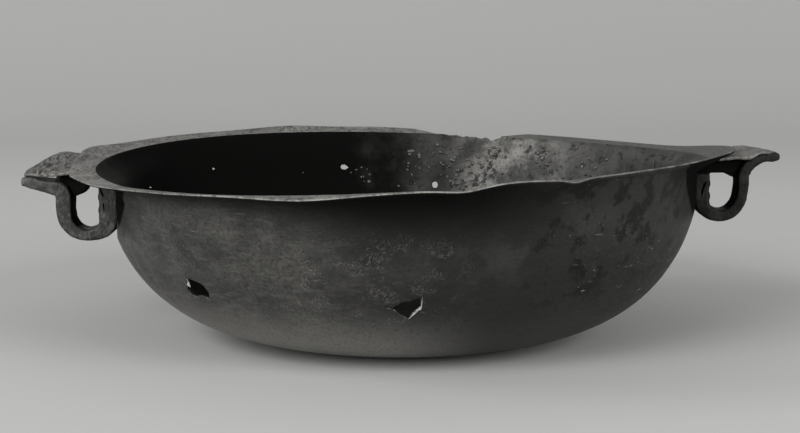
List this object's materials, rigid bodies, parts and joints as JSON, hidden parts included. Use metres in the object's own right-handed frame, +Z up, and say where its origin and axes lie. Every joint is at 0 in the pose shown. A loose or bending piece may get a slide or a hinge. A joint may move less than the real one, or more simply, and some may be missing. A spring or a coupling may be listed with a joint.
{
  "type": "metal bowl",
  "caption": "Wide round-bottomed hammered iron basin with a flat everted rim, ring handles hung under the rim and thumb plates over them.",
  "frame": {"origin": "centre of the flat foot, on the surface that the bowl stands on", "axes": "+Z up, +X towards the right handle, +Y away from the side that the picture shows"},
  "size_m": [0.5042, 0.4402, 0.1299],
  "materials": {
    "bowl_iron": "dark hammered iron, corroded and worn, dull satin",
    "handle_iron": "forged iron bar, pitted, dull satin with worn edges",
    "plate_iron": "hammered iron sheet, scaled and pitted, greyish",
    "rivet_iron": "peened iron rivet heads"
  },
  "bodies": {
    "root": {"bowl_shell": "bowl_iron", "left_handle": "handle_iron", "right_handle": "handle_iron", "left_thumb_plate": "plate_iron", "right_thumb_plate": "plate_iron", "left_upper_rivet": "rivet_iron", "left_lower_rivet": "rivet_iron", "right_upper_rivet": "rivet_iron", "right_lower_rivet": "rivet_iron"}
  },
  "joints": []
}
